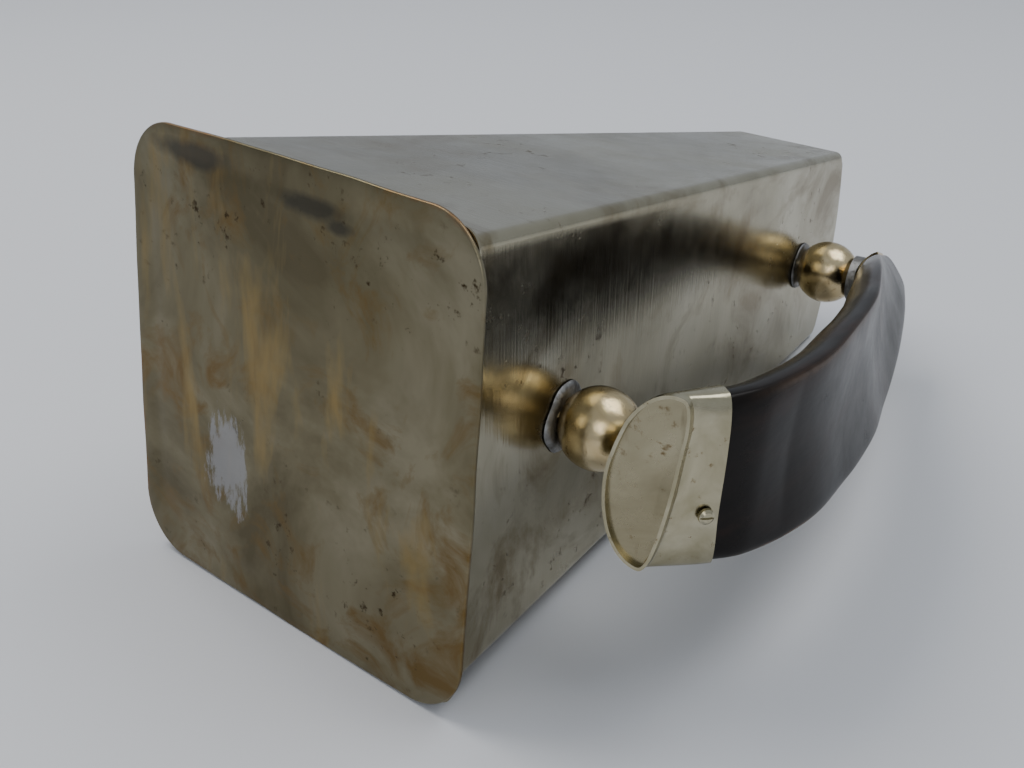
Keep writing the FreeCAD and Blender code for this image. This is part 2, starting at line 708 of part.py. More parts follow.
def make_washer(side):
    body = new_body(side + "_washer_disc")
    bore = "Sizes.stud_radius + Sizes.hole_clearance"
    low, high = "-Sizes.washer_thickness", "0"
    profile = [(bore, low), ("Sizes.washer_radius", low), ("Sizes.washer_radius", high), (bore, high)]
    revolve_points(body, side + "_washer", profile)
    return body


def make_nut(side):
    """A hexagon nut on the stud's tail, inside the vessel."""
    body = new_body(side + "_nut_blank")
    sketch = new_sketch(body, side + "_nut_outline", "XY_Plane")
    corner = size("nut_flats") / math.sqrt(3)
    turns = [index * math.pi / 3 for index in range(6)]
    points = [Vector(corner * math.cos(turn), corner * math.sin(turn), 0) for turn in turns]
    closed_profile(sketch, points)
    circle = sketch.addGeometry(Part.Circle(Vector(0, 0, 0), Vector(0, 0, 1), corner), True)
    for index in range(6):
        after = (index + 1) % 6
        sketch.addConstraint(Sketcher.Constraint("Coincident", index, 2, after, 1))
        sketch.addConstraint(Sketcher.Constraint("PointOnObject", index, 1, circle))
    for index in range(5):
        sketch.addConstraint(Sketcher.Constraint("Equal", index, index + 1))
    sketch.addConstraint(Sketcher.Constraint("Coincident", circle, 3, -1, 1))
    sketch.addConstraint(Sketcher.Constraint("PointOnObject", 0, 1, -1))
    bind(sketch, Sketcher.Constraint("Radius", circle, corner), "corner", "Sizes.nut_flats / sqrt(3)")
    radius = size("stud_radius") + size("thread_overlap")
    bore = sketch.addGeometry(Part.Circle(Vector(0, 0, 0), Vector(0, 0, 1), radius))
    sketch.addConstraint(Sketcher.Constraint("Coincident", bore, 3, -1, 1))
    rule = Sketcher.Constraint("Radius", bore, radius)
    bind(sketch, rule, "bore", "Sizes.stud_radius + Sizes.thread_overlap")
    pad = body.newObject("PartDesign::Pad", side + "_nut")
    pad.Profile = sketch
    pad.Reversed = True
    pad.setExpression("Length", "Sizes.nut_height")
    return body


def make_cap_screw():
    """A slotted round-head screw, its seat at local z = 0."""
    body = new_body("screw_turning")
    head, shank, dome = "Sizes.screw_head", "Sizes.screw_shank", "Sizes.screw_dome"
    gap, point = "Sizes.seat_clearance", "Sizes.screw_shank - Sizes.screw_length"
    profile = [("0", "-Sizes.screw_length"), (shank, point), (shank, gap), (head, gap)]
    for wide, high in (HEAD_SHOULDER, HEAD_CROWN):
        profile.append(("%s * %g" % (head, wide), "%s * %g" % (dome, high)))
    profile.append(("0", dome))
    revolve_points(body, "screw", profile)
    slot = new_sketch(body, "slot_outline", "YZ_Plane")
    half, top = size("screw_slot") / 2, size("screw_dome") + OVERCUT
    deep = size("screw_dome") - size("screw_slot_depth")
    points = [Vector(-half, deep, 0), Vector(half, deep, 0)]
    points += [Vector(half, top, 0), Vector(-half, top, 0)]
    closed_profile(slot, points)
    for index in range(4):
        slot.addConstraint(Sketcher.Constraint("Coincident", index, 2, (index + 1) % 4, 1))
    for index in (0, 2):
        slot.addConstraint(Sketcher.Constraint("Horizontal", index))
    for index in (1, 3):
        slot.addConstraint(Sketcher.Constraint("Vertical", index))
    bind(slot, Sketcher.Constraint("DistanceX", -1, 1, 1, 1, half), "half", "Sizes.screw_slot / 2")
    left = Sketcher.Constraint("DistanceX", -1, 1, 0, 1, -half)
    bind(slot, left, "other", "-Sizes.screw_slot / 2")
    floor = Sketcher.Constraint("DistanceY", -1, 1, 0, 1, deep)
    bind(slot, floor, "deep", "Sizes.screw_dome - Sizes.screw_slot_depth")
    roof = Sketcher.Constraint("DistanceY", -1, 1, 2, 1, top)
    bind(slot, roof, "top", "Sizes.screw_dome + %g" % OVERCUT)
    cut = body.newObject("PartDesign::Pocket", "slot")
    cut.Profile = slot
    cut.Type = 1
    cut.Midplane = True
    return body


# --- assembly -----------------------------------------------------------------------------------

pieces = {}


def add(label, item, placement=None):
    item.Label = label
    pieces[label] = (item, placement or Placement())


def make_wall_with_holes():
    """The folded sheet, split down the middle of its back and pierced for the two studs."""
    blank = make_vessel_wall()
    tools = []
    for side, place in ENDS.items():
        drill = doc.addObject("Part::Cylinder", side + "_wall_hole")
        drill.setExpression("Radius", "Sizes.stud_radius + Sizes.hole_clearance")
        drill.Height = DRILL_LENGTH
        drill.Placement = face_placement(place["post"], -DRILL_LENGTH / 2)
        tools.append(drill)
    slit = doc.addObject("Part::Box", "seam_slit")
    slit.setExpression("Length", "Sizes.plate_side / 2")
    slit.setExpression("Width", "Sizes.seam_gap")
    slit.setExpression("Height", "Sizes.vessel_height + %g" % (2 * OVERCUT))
    corner = Vector(-size("plate_side") / 2 - OVERCUT, -size("seam_gap") / 2, -OVERCUT)
    slit.Placement = Placement(corner, Rotation())
    tools.append(slit)
    gathered = doc.addObject("Part::MultiFuse", "wall_cutters")
    gathered.Shapes = tools
    wall = doc.addObject("Part::Cut", "pierced_wall")
    wall.Base = blank
    wall.Tool = gathered
    return wall


add("base_plate", make_base_plate())
add("body_wrap", make_wall_with_holes())
add("foot_solder", make_foot_solder())
seam = make_seam_cover()
add("seam_strip", seam, seam.Placement)
add("grip", make_grip())
add("lower_cap_band", make_cap_band())
add("lower_cap_end", make_cap_end())
add("lower_cap_screw", make_cap_screw(), screw_placement())
add("upper_saddle", make_saddle())
for side, place in ENDS.items():
    seat = face_placement(place["post"])
    inside = size("wall") + size("seat_clearance")
    under_washer = inside + size("washer_thickness") + size("seat_clearance")
    add(side + "_post_solder", make_collar(side), seat)
    add(side + "_ball_post", make_ball_post(side), seat)
    add(side + "_cap_solder", make_cap_joint(side, place))
    add(side + "_stud", make_stud(side), face_placement(place["post"], -size("stud_tail")))
    add(side + "_washer", make_washer(side), face_placement(place["post"], -inside))
    add(side + "_nut", make_nut(side), face_placement(place["post"], -under_washer))

# Laid down on a flank: the far rim's edge and the base plate's edge both touch the table. Vessel +Z
# then runs along +Y and a little down, and the handle side stays on +X.
flank_fall = size("plate_side") / 2 + size("plate_crown") - size("mouth_width") / 2
tilt = math.atan2(flank_fall, size("vessel_height"))
lay_down = Placement(Vector(), Rotation(Vector(1, 0, 0), -90 - math.degrees(tilt)))


def lay_pieces(base):
    for item, placement in pieces.values():
        item.Placement = base.multiply(placement)
    doc.recompute()


def whole_box():
    box = FreeCAD.BoundBox()
    for item, _ in pieces.values():
        box.add(item.Shape.optimalBoundingBox(False, False))
    return box


doc.recompute()
lay_pieces(lay_down)
box = whole_box()
shift = Vector(-box.Center.x, -box.Center.y, -box.ZMin)
lay_down = Placement(shift, Rotation()).multiply(lay_down)
lay_pieces(lay_down)

# --- checks and export --------------------------------------------------------------------------

for item in doc.Objects:
    if "Invalid" in item.State or "Error" in item.State:
        raise RuntimeError("object failed: %s %s" % (item.Label, item.State))
for label, (item, _) in pieces.items():
    if item.Shape.isNull() or not item.Shape.isValid():
        raise RuntimeError("bad shape: " + label)
    if len(item.Shape.Solids) != 1:
        raise RuntimeError("%s has %d solids" % (label, len(item.Shape.Solids)))

os.makedirs("parts", exist_ok=True)
for label, (item, _) in pieces.items():
    item.Shape.exportStep("parts/%s.step" % label)
    print("%-20s %10.1f mm3" % (label, item.Shape.Volume))
box = whole_box()
print("tilt %.4f deg, shift %.3f %.3f %.3f" % (math.degrees(tilt), shift.x, shift.y, shift.z))
print("size %.2f x %.2f x %.2f" % (box.XLength, box.YLength, box.ZLength))
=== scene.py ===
# %% [markdown]
# # A charcoal hod, lying on its flank
# The hod is a tapered square vessel of plated sheet brass. A flat plate closes its foot, and a horn
# grip stands off one side on two turned balls. Everything is measured from the packed model, so the
# looks made here sit exactly where its solids are.

# %% Load the frame
import json
import math

import bmesh
import bpy
import numpy as np
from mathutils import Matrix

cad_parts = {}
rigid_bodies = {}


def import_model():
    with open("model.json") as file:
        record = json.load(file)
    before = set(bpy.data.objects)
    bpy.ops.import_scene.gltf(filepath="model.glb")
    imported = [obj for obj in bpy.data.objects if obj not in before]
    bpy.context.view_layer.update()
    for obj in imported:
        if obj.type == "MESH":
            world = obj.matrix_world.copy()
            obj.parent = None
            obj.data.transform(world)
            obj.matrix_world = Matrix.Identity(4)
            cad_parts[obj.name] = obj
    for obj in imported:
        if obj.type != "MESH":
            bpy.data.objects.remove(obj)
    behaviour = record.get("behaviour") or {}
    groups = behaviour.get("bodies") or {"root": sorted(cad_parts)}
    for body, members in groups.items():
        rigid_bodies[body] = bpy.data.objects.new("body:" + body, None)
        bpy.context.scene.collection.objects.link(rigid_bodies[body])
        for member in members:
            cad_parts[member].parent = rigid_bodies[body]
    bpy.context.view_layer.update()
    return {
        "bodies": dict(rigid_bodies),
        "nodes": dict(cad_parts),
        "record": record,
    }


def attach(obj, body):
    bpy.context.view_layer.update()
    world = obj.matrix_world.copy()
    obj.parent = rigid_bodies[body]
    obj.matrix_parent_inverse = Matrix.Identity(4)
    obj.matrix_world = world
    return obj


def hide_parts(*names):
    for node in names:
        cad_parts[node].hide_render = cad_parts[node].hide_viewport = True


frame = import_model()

MM = 0.001
BODY = next(iter(frame["bodies"]))
print("body", BODY, "with", len(frame["nodes"]), "solids")

# %% [markdown]
# ## Two rulers
# The vessel is easiest to draw standing up, with its base plate at height nought. The record gives
# the plate's underside and the way it faces, and those two fix the vessel's own axes. The handle
# has a second ruler that runs up the sloping handle side.

# %% The vessel's axes
PLATE_THICK = 1.5
foot = frame["record"]["mounts"][0]
RISE = -np.array(foot["axis"])
HANDLE = np.array([1.0, 0.0, 0.0])
FLANK = np.cross(RISE, HANDLE)
ORIGIN = np.array(foot["pos_m"]) + RISE * PLATE_THICK * MM
print("vessel's foot at", ORIGIN.round(4), "rising along", RISE.round(4))


def stand(x, y, z):
    """Vessel millimetres to row metres: x to the handle, y to the table, z to the mouth."""
    x, y, z = np.broadcast_arrays(x, y, z)
    return ORIGIN + MM * (x[..., None] * HANDLE + y[..., None] * FLANK + z[..., None] * RISE)


# %% The handle side's axes
HEIGHT, FOOT_HALF, MOUTH_X, MOUTH_Y, MOUTH_SHIFT = 300.0, 68.25, 28.0, 43.75, -9.2
LEAN = math.atan2(FOOT_HALF - MOUTH_SHIFT - MOUTH_X, HEIGHT)


def on_face(along, out, across):
    """Handle millimetres to row metres: up the sloping side, square out of it, and across it."""
    x = FOOT_HALF - np.sin(LEAN) * along + np.cos(LEAN) * out
    z = np.cos(LEAN) * along + np.sin(LEAN) * out
    return stand(x, across, z)


print("handle side leans %.2f degrees" % math.degrees(LEAN))

# %% [markdown]
# ## Meshes from grids
# Most pieces here are sheets and turned shapes, so each is a grid of points worked out from a
# formula. One helper turns such a grid into a mesh, closes it and checks that it faces outwards.

# %% Faces of a grid
def grid_faces(rows, cols, close_rows=False, close_cols=True):
    """Quads between neighbours on a grid whose points are numbered row by row."""
    r = np.arange(rows if close_rows else rows - 1)
    c = np.arange(cols if close_cols else cols - 1)
    r, c = (item.ravel() for item in np.meshgrid(r, c, indexing="ij"))
    r2, c2 = (r + 1) % rows, (c + 1) % cols
    return np.stack([r * cols + c, r * cols + c2, r2 * cols + c2, r2 * cols + c], -1)


print("a grid of 3 by 4 points, closed one way, has", len(grid_faces(3, 4)), "faces")

# %% A finished piece
SAME_POINT = 1e-6


def make_piece(name, points, faces, finish, stands_for, crease=38.0, masks=None):
    """A finished piece from points (n, 3) in metres and faces; masks are values for each point."""
    mesh = bpy.data.meshes.new(name)
    mesh.from_pydata(points.reshape(-1, 3).tolist(), [], faces.tolist())
    for mask_name, values in (masks or {}).items():
        layer = mesh.attributes.new(mask_name, "FLOAT", "POINT")
        layer.data.foreach_set("value", np.ascontiguousarray(values, np.float32).ravel())
    shell = bmesh.new()
    shell.from_mesh(mesh)
    bmesh.ops.remove_doubles(shell, verts=shell.verts, dist=SAME_POINT)
    bmesh.ops.dissolve_degenerate(shell, edges=shell.edges, dist=SAME_POINT / 10)
    if shell.calc_volume(signed=True) < 0:
        bmesh.ops.reverse_faces(shell, faces=shell.faces)
    open_edges = sum(1 for edge in shell.edges if not edge.is_manifold)
    shell.to_mesh(mesh)
    shell.free()
    mesh.shade_smooth()
    mesh.set_sharp_from_angle(angle=math.radians(crease))
    mesh.materials.append(finish)
    piece = bpy.data.objects.new(name, mesh)
    bpy.context.scene.collection.objects.link(piece)
    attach(piece, BODY)
    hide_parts(*stands_for)
    print("%-18s %6d faces, %d open edges" % (name, len(mesh.polygons), open_edges))
    return piece


print("points nearer than", SAME_POINT, "m are joined")

# %% Ripples
def waves(a, b, seed, count=7, low=0.6, high=2.6):
    """A smooth random ripple: a sum of sin(ka a + kb b + phase), each drawn from the seed."""
    draw = np.random.default_rng(seed)
    total = np.zeros(np.broadcast(a, b).shape)
    for _ in range(count):
        ka, kb = draw.uniform(low, high, 2) * draw.choice([-1, 1], 2)
        total = total + np.sin(ka * a + kb * b + draw.uniform(0, 2 * np.pi))
    return total / math.sqrt(2 * count)


print("a ripple at 0, 1 and 2:", waves(np.arange(3.0), 0.0, 1).round(2))

# %% [markdown]
# ## Finishes
# Every finish is mixed from noise in the piece's own coordinates, so it stays put when the piece
# moves. An image could carry the same marks, but noise needs no file and never runs out of detail.
# The helpers below each add one node and hand back its output, so a finish reads like a recipe.

# %% Start a finish
def new_finish(name):
    """A material, its node tree, its shader and a vector of Object coordinates."""
    material = bpy.data.materials.new(name)
    material.use_nodes = True
    tree = material.node_tree
    shader = next(node for node in tree.nodes if node.type == "BSDF_PRINCIPLED")
    where = tree.nodes.new("ShaderNodeTexCoord").outputs["Object"]
    return material, tree, shader, where


print("a finish starts from", new_finish.__doc__.lower())

# %% Noise and its colours
def mapped(tree, where, scale, turn=(0, 0, 0), move=(0, 0, 0)):
    """Coordinates moved, turned and scaled, to stretch or aim a pattern."""
    node = tree.nodes.new("ShaderNodeMapping")
    node.inputs["Location"].default_value = move
    node.inputs["Rotation"].default_value = turn
    node.inputs["Scale"].default_value = scale
    tree.links.new(where, node.inputs["Vector"])
    return node.outputs["Vector"]


def noise(tree, where, scale, detail=4.0, rough=0.55, warp=0.0):
    """Cloudy values about 0.5, with this many clouds to a metre."""
    node = tree.nodes.new("ShaderNodeTexNoise")
    node.inputs["Scale"].default_value = scale
    node.inputs["Detail"].default_value = detail
    node.inputs["Roughness"].default_value = rough
    node.inputs["Distortion"].default_value = warp
    tree.links.new(where, node.inputs["Vector"])
    return node.outputs["Fac"]


def ramp(tree, value, stops):
    """Passes a value through stops of (position, grey or colour)."""
    node = tree.nodes.new("ShaderNodeValToRGB")
    band = node.color_ramp
    while len(band.elements) < len(stops):
        band.elements.new(0.5)
    for element, (position, colour) in zip(band.elements, stops):
        element.position = position
        grey = (colour,) * 3 if isinstance(colour, (int, float)) else colour
        element.color = (*grey, 1.0)
    tree.links.new(value, node.inputs["Fac"])
    return node.outputs["Color"]


print("noise helpers:", mapped.__name__, noise.__name__, ramp.__name__)

# %% Mixing and arithmetic
def blend(tree, share, first, second, mode="MIX"):
    """Mixes two colours; each is a socket or three numbers, and share is a socket or a number."""
    node = tree.nodes.new("ShaderNodeMix")
    node.data_type = "RGBA"
    node.blend_type = mode
    for socket, item in ((node.inputs[0], share), (node.inputs[6], first), (node.inputs[7], second)):
        if isinstance(item, bpy.types.NodeSocket):
            tree.links.new(item, socket)
        elif isinstance(item, (int, float)):
            socket.default_value = item
        else:
            socket.default_value = (*item, 1.0)
    return node.outputs[2]


def sums(tree, kind, first, second):
    """One step of arithmetic on two values; each is a socket or a number."""
    node = tree.nodes.new("ShaderNodeMath")
    node.operation = kind
    for socket, item in zip(node.inputs, (first, second)):
        if isinstance(item, bpy.types.NodeSocket):
            tree.links.new(item, socket)
        else:
            socket.default_value = item
    return node.outputs[0]


print("mixing helpers:", blend.__name__, sums.__name__)

# %% Relief and single marks
def relief(tree, shader, height, strength, distance):
    """Bumps the shader's normal by a height."""
    node = tree.nodes.new("ShaderNodeBump")
    node.inputs["Strength"].default_value = strength
    node.inputs["Distance"].default_value = distance
    tree.links.new(height, node.inputs["Height"])
    tree.links.new(node.outputs["Normal"], shader.inputs["Normal"])


def near(tree, where, centre, size, turn=(0, 0, 0)):
    """1 at a point and falling to 0 at an ellipsoid of these half sizes round it, in metres."""
    shift = tree.nodes.new("ShaderNodeVectorMath")
    shift.operation = "SUBTRACT"
    shift.inputs[1].default_value = tuple(centre)
    tree.links.new(where, shift.inputs[0])
    fitted = mapped(tree, shift.outputs[0], tuple(1 / s for s in size), turn)
    length = tree.nodes.new("ShaderNodeVectorMath")
    length.operation = "LENGTH"
    tree.links.new(fitted, length.inputs[0])
    return sums(tree, "SUBTRACT", 1.0, length.outputs["Value"])


print("mark helpers:", relief.__name__, near.__name__)

# %% [markdown]
# ## Old plate on brass
# Thin silvery plate is a mirror that has gone cloudy: the colour drifts from grey to olive, brown
# spots show where the brass comes through, and fine scratches spread the highlights. One recipe
# serves the sides and the base plate, with other greys and another roughness.

# %% Plated brass for the vessel's sides
def plated(name, greys, olive, spot, rough, cloud, spots, scratch_turn):
    """Cloudy plate: drifting greys, olive stains, brown spots, and scratches one way."""
    material, tree, shader, where = new_finish(name)
    clouds = noise(tree, where, cloud, 5.0, 0.6, 0.6)
    base = ramp(tree, clouds, [(0.36, greys[0]), (0.5, greys[1]), (0.64, greys[2])])
    stains = ramp(tree, noise(tree, where, cloud * 2.3, 6.0, 0.65, 1.2), [(0.5, 0.0), (0.68, 1.0)])
    base = blend(tree, stains, base, olive)
    fine = ramp(tree, noise(tree, where, spots, 3.0, 0.7), [(0.62, 0.0), (0.72, 1.0)])
    patches = ramp(tree, noise(tree, where, cloud * 1.6, 2.0, 0.5), [(0.45, 0.0), (0.62, 1.0)])
    foxing = sums(tree, "MULTIPLY", fine, patches)
    base = blend(tree, foxing, base, spot)
    hairs = noise(tree, mapped(tree, where, (12, 900, 12), scratch_turn), 1.0, 3.0, 0.6)
    dull = ramp(tree, noise(tree, where, cloud * 3.1, 5.0, 0.7), [(0.3, rough[0]), (0.7, rough[1])])
    worn = sums(tree, "MULTIPLY", foxing, 0.2)
    shader.inputs["Metallic"].default_value = 1.0
    tree.links.new(base, shader.inputs["Base Color"])
    tree.links.new(sums(tree, "ADD", dull, worn), shader.inputs["Roughness"])
    relief(tree, shader, hairs, 0.10, 0.0006)
    return material, tree, shader, where, base


vessel_skin = plated(
    "vessel_skin", [(0.23, 0.205, 0.135), (0.33, 0.30, 0.205), (0.43, 0.40, 0.30)], (0.20, 0.16, 0.085),
    (0.10, 0.07, 0.035), (0.14, 0.28), 9.0, 190.0, (0.3, 0.2, 0.5))[0]
print("finish", vessel_skin.name)

# %% [markdown]
# ## The base plate's marks
# The plate has had the hardest life. Its edges are rubbed to copper, two dark strips are left where
# it was handled near the far edge, gold streaks run down it, and a smear of tin sits low on it. Each
# mark is an ellipsoid with a ragged border, placed in vessel millimetres.

# %% The base plate's finish
DARK_STRIPS = ((-43, -67.5, (0.023, 0.02, 0.0048)), (10, -63.5, (0.017, 0.02, 0.0042)),
               (21, -60, (0.007, 0.02, 0.0032)))
TIN_SMEAR = (-29, 29, (0.018, 0.02, 0.029))


def marked_plate():
    """Plated brass with its own history: bare copper edges, dark worn strips, a solder smear."""
    greys = [(0.105, 0.088, 0.048), (0.165, 0.143, 0.085), (0.235, 0.21, 0.14)]
    material, tree, shader, where, base = plated(
        "plate_skin", greys, (0.15, 0.098, 0.036), (0.05, 0.032, 0.013), (0.30, 0.46), 16.0, 210.0,
        (0.0, 0.9, 0.0))
    streaks = noise(tree, mapped(tree, where, (38, 30, 9), (0, 0.55, 0)), 1.0, 5.0, 0.6, 0.4)
    gold = ramp(tree, streaks, [(0.55, 0.0), (0.66, 1.0)])
    base = blend(tree, sums(tree, "MULTIPLY", gold, 0.75), base, (0.27, 0.195, 0.078))
    edge = tree.nodes.new("ShaderNodeAttribute")
    edge.attribute_name = "edge"
    ragged = sums(tree, "MULTIPLY", noise(tree, where, 70.0, 5.0, 0.7), 1.7)
    copper = sums(tree, "MULTIPLY", edge.outputs["Fac"], ragged)
    copper = ramp(tree, copper, [(0.36, 0.0), (0.62, 0.85)])
    base = blend(tree, copper, base, (0.20, 0.098, 0.038))
    for x, y, size in DARK_STRIPS:
        spot = near(tree, where, stand(x, y, -PLATE_THICK), size, (0, 0.10, 0))
        spot = sums(tree, "ADD", spot, sums(tree, "MULTIPLY", noise(tree, where, 110.0, 4.0), 0.9))
        spot = ramp(tree, spot, [(0.50, 0.0), (1.05, 0.85)])
        base = blend(tree, spot, base, (0.055, 0.05, 0.038))
    x, y, size = TIN_SMEAR
    smear = near(tree, where, stand(x, y, -PLATE_THICK), size, (0, 0.12, 0))
    drags = noise(tree, mapped(tree, where, (260, 100, 75), (0, 0.25, 0)), 1.0, 6.0, 0.75)
    drags = sums(tree, "MULTIPLY", drags, 1.15)
    smear = sums(tree, "ADD", sums(tree, "MULTIPLY", smear, 0.75), drags)
    tin = ramp(tree, smear, [(0.88, 0.0), (1.16, 0.75)])
    base = blend(tree, tin, base, (0.31, 0.31, 0.315))
    tree.links.new(base, shader.inputs["Base Color"])
    return material


plate_skin = marked_plate()
print("finish", plate_skin.name)

# %% [markdown]
# ## Bare metals
# Turned brass, the ferrule's sheet, solder and fixings differ in colour, in how dull they are and in
# how deep their pits go, so one recipe takes those as its measures.

# %% A bare metal
def metal(name, tones, spot, rough, scale, spots, pit_strength, pit_scale):
    """Bare or thinly plated metal: two tones, small dark spots in the hollows, and pits."""
    material, tree, shader, where = new_finish(name)
    base = ramp(tree, noise(tree, where, scale, 5.0, 0.6, 0.8), [(0.36, tones[0]), (0.64, tones[1])])
    specks = ramp(tree, noise(tree, where, spots, 4.0, 0.7), [(0.60, 0.0), (0.72, 1.0)])
    base = blend(tree, specks, base, spot)
    dull = ramp(tree, noise(tree, where, scale * 2.5, 4.0, 0.65), [(0.3, rough[0]), (0.7, rough[1])])
    dull = sums(tree, "ADD", dull, sums(tree, "MULTIPLY", specks, 0.2))
    shader.inputs["Metallic"].default_value = 1.0
    tree.links.new(base, shader.inputs["Base Color"])
    tree.links.new(dull, shader.inputs["Roughness"])
    relief(tree, shader, noise(tree, where, pit_scale, 6.0, 0.7), pit_strength, 0.0008)
    return material, tree, shader, where, base


print("metal recipe:", metal.__doc__)

# %% Turned brass, ferrule sheet, solder and plain fixings
ball_brass = metal("ball_brass", [(0.50, 0.38, 0.19), (0.72, 0.60, 0.37)], (0.18, 0.11, 0.045),
                   (0.12, 0.24), 60.0, 330.0, 0.16, 420.0)[0]
cap_metal = metal("cap_metal", [(0.34, 0.305, 0.195), (0.50, 0.46, 0.33)], (0.20, 0.145, 0.07),
                  (0.14, 0.28), 45.0, 260.0, 0.12, 160.0)[0]
saddle_brass = metal("saddle_brass", [(0.50, 0.35, 0.15), (0.74, 0.60, 0.33)], (0.22, 0.13, 0.05),
                     (0.20, 0.36), 80.0, 300.0, 0.14, 300.0)[0]
solder = metal("solder", [(0.13, 0.125, 0.115), (0.34, 0.34, 0.335)], (0.05, 0.038, 0.025),
               (0.32, 0.55), 190.0, 240.0, 0.55, 330.0)[0]
fixings = metal("fixings", [(0.42, 0.38, 0.28), (0.60, 0.56, 0.45)], (0.22, 0.14, 0.07),
                (0.25, 0.40), 90.0, 300.0, 0.15, 400.0)[0]
print("finishes", ball_brass.name, cap_metal.name, saddle_brass.name, solder.name, fixings.name)

# %% The end plate's finish
def flux_stained():
    """The end plate: worn plate with coppery drags, and brown flux left in the corner by its rim."""
    material, tree, shader, where, base = metal(
        "end_sheet", [(0.27, 0.235, 0.145), (0.40, 0.36, 0.245)], (0.20, 0.14, 0.065), (0.22, 0.36), 30.0,
        180.0, 0.12, 140.0)
    drags = noise(tree, mapped(tree, where, (90, 90, 22), (0, 0.25, 0)), 1.0, 5.0, 0.6)
    base = blend(tree, ramp(tree, drags, [(0.56, 0.0), (0.66, 0.7)]), base, (0.19, 0.155, 0.09))
    edge = tree.nodes.new("ShaderNodeAttribute")
    edge.attribute_name = "edge"
    flux = sums(tree, "MULTIPLY", edge.outputs["Fac"], noise(tree, where, 160.0, 5.0, 0.7))
    flux = ramp(tree, flux, [(0.34, 0.0), (0.46, 1.0)])
    tree.links.new(blend(tree, flux, base, (0.16, 0.098, 0.03)), shader.inputs["Base Color"])
    return material


end_sheet = flux_stained()
print("finish", end_sheet.name)

# %% [markdown]
# ## Horn
# Horn is a dark, slightly clear stuff that takes a soft polish. It is near-black here, red-brown in
# streaks along its grain, and pale brown along its sharp edges, partly from wear and partly as a painted
# highlight. Its shine is kept low, because a pale room would otherwise turn it grey.

# %% The horn's finish
def black_horn():
    """Black horn: near-black with red-brown where it thins, long scratches, and a pale edge that is
    partly wear and partly a painted highlight.
    """
    material, tree, shader, where = new_finish("horn")
    streaks = noise(tree, mapped(tree, where, (60, 14, 60)), 1.0, 5.0, 0.6, 0.5)
    base = ramp(tree, streaks, [(0.35, (0.005, 0.0045, 0.004)), (0.55, (0.009, 0.007, 0.006)),
                                (0.72, (0.021, 0.011, 0.008))])
    edge = tree.nodes.new("ShaderNodeAttribute")
    edge.attribute_name = "edge"
    # Pale brown along the arrises: partly worn nicks, partly a painted highlight where the edge would
    # catch the light.
    nicks_and_painted_highlight = sums(tree, "MULTIPLY", edge.outputs["Fac"],
                 ramp(tree, noise(tree, where, 130.0, 5.0, 0.7), [(0.35, 0.45), (0.65, 1.0)]))
    base = blend(tree, sums(tree, "MULTIPLY", nicks_and_painted_highlight, 0.8), base, (0.16, 0.105, 0.07))
    dull = ramp(tree, noise(tree, where, 55.0, 5.0, 0.7), [(0.3, 0.17), (0.7, 0.28)])
    hairs = noise(tree, mapped(tree, where, (700, 60, 700), (0.4, 0.2, 0.3)), 1.0, 3.0, 0.6)
    lumps = noise(tree, where, 38.0, 3.0, 0.5)
    shader.inputs["Specular IOR Level"].default_value = 0.09
    tree.links.new(base, shader.inputs["Base Color"])
    tree.links.new(dull, shader.inputs["Roughness"])
    hairs = sums(tree, "MULTIPLY", hairs, 0.25)
    height = sums(tree, "ADD", hairs, sums(tree, "MULTIPLY", lumps, 2.0))
    relief(tree, shader, height, 0.22, 0.0007)
    return material


horn_skin = black_horn()
print("finish", horn_skin.name)

# %% [markdown]
# ## Floor, light and camera
# A plain pale floor, a grey room, and soft lamps above. The metal shows the room and the floor in
# itself, so their greys decide how the plate looks.

# %% Floor
floor_mesh = bpy.data.meshes.new("floor")
FLOOR_HALF = 6.0
corners = [(-FLOOR_HALF, -FLOOR_HALF, 0), (FLOOR_HALF, -FLOOR_HALF, 0),
           (FLOOR_HALF, FLOOR_HALF, 0), (-FLOOR_HALF, FLOOR_HALF, 0)]
floor_mesh.from_pydata(corners, [], [(0, 1, 2, 3)])
floor = bpy.data.objects.new("floor", floor_mesh)
bpy.context.scene.collection.objects.link(floor)
floor_paint = bpy.data.materials.new("floor_paint")
floor_paint.use_nodes = True
paint = next(n for n in floor_paint.node_tree.nodes if n.type == "BSDF_PRINCIPLED")
paint.inputs["Base Color"].default_value = (0.60, 0.61, 0.635, 1)
paint.inputs["Roughness"].default_value = 0.55
floor_mesh.materials.append(floor_paint)
print("floor", 2 * FLOOR_HALF, "m wide")

# %% The room
room = bpy.data.worlds.new("room")
room.use_nodes = True
room.node_tree.nodes["Background"].inputs["Color"].default_value = (0.80, 0.86, 0.95, 1)
room.node_tree.nodes["Background"].inputs["Strength"].default_value = 0.55
bpy.context.scene.world = room
print("room's light", room.node_tree.nodes["Background"].inputs["Strength"].default_value)

# %% Lamps
def lamp(name, at, towards, side, power, colour):
    """A square soft lamp, aimed at a point."""
    light = bpy.data.lights.new(name, "AREA")
    light.shape = "SQUARE"
    light.size = side
    light.energy = power
    light.color = colour
    holder = bpy.data.objects.new(name, light)
    way = np.array(towards, float) - np.array(at, float)
    flat = math.hypot(way[0], way[1])
    holder.location = at
    holder.rotation_euler = (math.atan2(flat, -way[2]), 0, math.atan2(-way[0], way[1]))
    bpy.context.scene.collection.objects.link(holder)


MIDDLE = (0.0, 0.0, 0.07)
lamp("key", (-0.9, -0.2, 1.5), MIDDLE, 0.9, 17.0, (1.0, 0.97, 0.93))
lamp("top", (0.5, 0.7, 1.7), MIDDLE, 1.2, 14.0, (0.96, 0.98, 1.0))
lamp("front", (1.1, -1.3, 1.0), MIDDLE, 0.9, 5.0, (1.0, 0.98, 0.95))
print("lamps", [item.name for item in bpy.data.lights])

